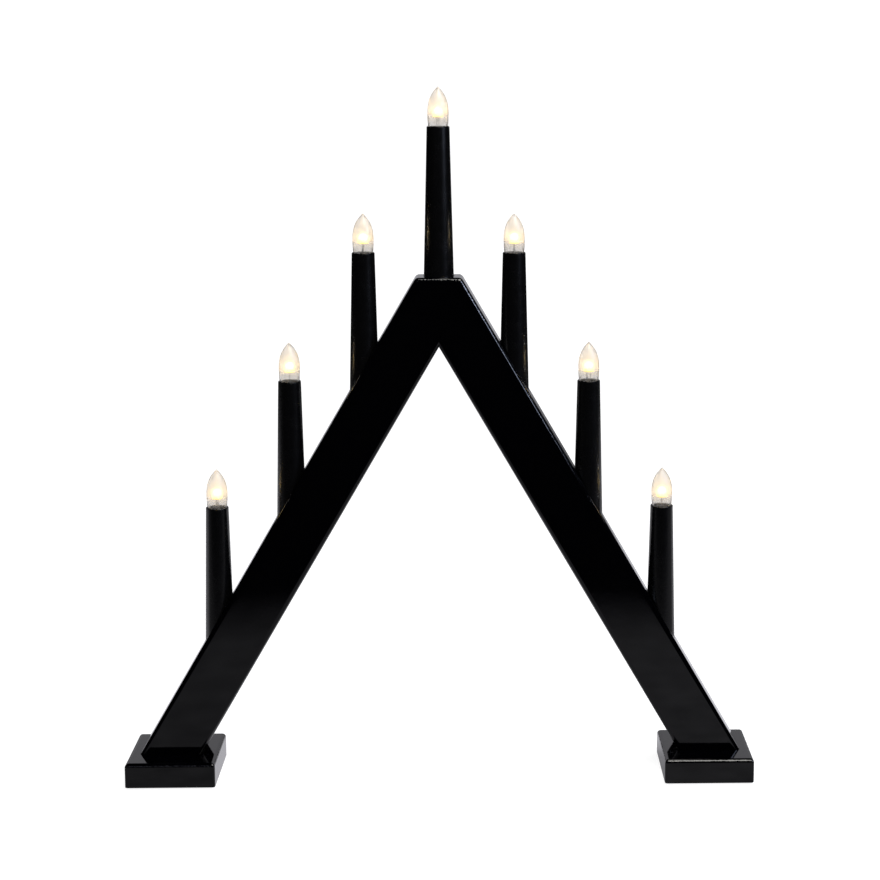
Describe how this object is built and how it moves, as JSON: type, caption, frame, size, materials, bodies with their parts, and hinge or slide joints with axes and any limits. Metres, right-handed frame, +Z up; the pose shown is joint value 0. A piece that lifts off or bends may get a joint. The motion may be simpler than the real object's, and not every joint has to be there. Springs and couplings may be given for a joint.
{
  "type": "advent candle holder",
  "caption": "A-shaped electric advent candle holder: two mitred lacquered beams on square feet carry upright tapered candles with clear screw-in LED bulbs.",
  "frame": {"origin": "on the surface it stands on, in the middle between the two feet", "axes": "+X to the right seen from the front, +Y to the back, +Z up"},
  "size_m": [0.4578, 0.0654, 0.5057],
  "materials": {
    "lacquer": "black high-gloss lacquer on wood",
    "sleeve": "black satin moulded plastic",
    "holder": "black moulded plastic",
    "felt": "black felt",
    "strip": "black satin extruded plastic",
    "wire": "black PVC insulation",
    "grommet": "black rubber",
    "screw": "zinc-plated steel",
    "dowel": "plain beech",
    "cap": "nickel-plated brass",
    "contact": "solder",
    "envelope": "clear, polished",
    "led": "clear warm-white LED resin"
  },
  "bodies": {
    "stand": {"left_beam": "lacquer", "left_foot": "lacquer", "left_foot_pad": "felt", "left_cover_strip": "strip", "left_wire_loom": "wire", "left_foot_screw_1": "screw", "left_foot_screw_2": "screw", "right_beam": "lacquer", "right_foot": "lacquer", "right_foot_pad": "felt", "right_cover_strip": "strip", "right_wire_loom": "wire", "right_foot_screw_1": "screw", "right_foot_screw_2": "screw", "mitre_dowel_1": "dowel", "mitre_dowel_2": "dowel", "cord_grommet": "grommet", "candle_1_sleeve": "sleeve", "candle_1_lamp_holder": "holder", "candle_2_sleeve": "sleeve", "candle_2_lamp_holder": "holder", "candle_3_sleeve": "sleeve", "candle_3_lamp_holder": "holder", "candle_4_sleeve": "sleeve", "candle_4_lamp_holder": "holder", "candle_5_sleeve": "sleeve", "candle_5_lamp_holder": "holder", "candle_6_sleeve": "sleeve", "candle_6_lamp_holder": "holder", "candle_7_sleeve": "sleeve", "candle_7_lamp_holder": "holder"},
    "bulb_1_contact": {"bulb_1_contact": "contact"},
    "bulb_1": {"bulb_1_cap": "cap", "bulb_1_envelope": "envelope", "bulb_1_led": "led"},
    "bulb_2_contact": {"bulb_2_contact": "contact"},
    "bulb_2": {"bulb_2_cap": "cap", "bulb_2_envelope": "envelope", "bulb_2_led": "led"},
    "bulb_3_contact": {"bulb_3_contact": "contact"},
    "bulb_3": {"bulb_3_cap": "cap", "bulb_3_envelope": "envelope", "bulb_3_led": "led"},
    "bulb_4_contact": {"bulb_4_contact": "contact"},
    "bulb_4": {"bulb_4_cap": "cap", "bulb_4_envelope": "envelope", "bulb_4_led": "led"},
    "bulb_5_contact": {"bulb_5_contact": "contact"},
    "bulb_5": {"bulb_5_cap": "cap", "bulb_5_envelope": "envelope", "bulb_5_led": "led"},
    "bulb_6_contact": {"bulb_6_contact": "contact"},
    "bulb_6": {"bulb_6_cap": "cap", "bulb_6_envelope": "envelope", "bulb_6_led": "led"},
    "bulb_7_contact": {"bulb_7_contact": "contact"},
    "bulb_7": {"bulb_7_cap": "cap", "bulb_7_envelope": "envelope", "bulb_7_led": "led"}
  },
  "joints": [
    {"name": "bulb_1_rise", "type": "slide", "parent": "stand", "child": "bulb_1_contact", "axis": [0, 0, 1], "range_m": [0, 0.0073]},
    {"name": "bulb_1_turn", "type": "hinge", "parent": "bulb_1_contact", "child": "bulb_1", "pos_m": [-0.162, 0, 0.20198], "axis": [0, 0, 1], "range_deg": [0, 1440]},
    {"name": "bulb_2_rise", "type": "slide", "parent": "stand", "child": "bulb_2_contact", "axis": [0, 0, 1], "range_m": [0, 0.0073]},
    {"name": "bulb_2_turn", "type": "hinge", "parent": "bulb_2_contact", "child": "bulb_2", "pos_m": [-0.108, 0, 0.29492], "axis": [0, 0, 1], "range_deg": [0, 1440]},
    {"name": "bulb_3_rise", "type": "slide", "parent": "stand", "child": "bulb_3_contact", "axis": [0, 0, 1], "range_m": [0, 0.0073]},
    {"name": "bulb_3_turn", "type": "hinge", "parent": "bulb_3_contact", "child": "bulb_3", "pos_m": [-0.054, 0, 0.38787], "axis": [0, 0, 1], "range_deg": [0, 1440]},
    {"name": "bulb_4_rise", "type": "slide", "parent": "stand", "child": "bulb_4_contact", "axis": [0, 0, 1], "range_m": [0, 0.0073]},
    {"name": "bulb_4_turn", "type": "hinge", "parent": "bulb_4_contact", "child": "bulb_4", "pos_m": [0, 0, 0.47769], "axis": [0, 0, 1], "range_deg": [0, 1440]},
    {"name": "bulb_5_rise", "type": "slide", "parent": "stand", "child": "bulb_5_contact", "axis": [0, 0, 1], "range_m": [0, 0.0073]},
    {"name": "bulb_5_turn", "type": "hinge", "parent": "bulb_5_contact", "child": "bulb_5", "pos_m": [0.054, 0, 0.38787], "axis": [0, 0, 1], "range_deg": [0, 1440]},
    {"name": "bulb_6_rise", "type": "slide", "parent": "stand", "child": "bulb_6_contact", "axis": [0, 0, 1], "range_m": [0, 0.0073]},
    {"name": "bulb_6_turn", "type": "hinge", "parent": "bulb_6_contact", "child": "bulb_6", "pos_m": [0.108, 0, 0.29492], "axis": [0, 0, 1], "range_deg": [0, 1440]},
    {"name": "bulb_7_rise", "type": "slide", "parent": "stand", "child": "bulb_7_contact", "axis": [0, 0, 1], "range_m": [0, 0.0073]},
    {"name": "bulb_7_turn", "type": "hinge", "parent": "bulb_7_contact", "child": "bulb_7", "pos_m": [0.162, 0, 0.20198], "axis": [0, 0, 1], "range_deg": [0, 1440]}
  ],
  "couplings": [
    {"joint": "bulb_1_rise", "follows": "bulb_1_turn", "m_per_rad": 0.00028875},
    {"joint": "bulb_2_rise", "follows": "bulb_2_turn", "m_per_rad": 0.00028875},
    {"joint": "bulb_3_rise", "follows": "bulb_3_turn", "m_per_rad": 0.00028875},
    {"joint": "bulb_4_rise", "follows": "bulb_4_turn", "m_per_rad": 0.00028875},
    {"joint": "bulb_5_rise", "follows": "bulb_5_turn", "m_per_rad": 0.00028875},
    {"joint": "bulb_6_rise", "follows": "bulb_6_turn", "m_per_rad": 0.00028875},
    {"joint": "bulb_7_rise", "follows": "bulb_7_turn", "m_per_rad": 0.00028875}
  ]
}
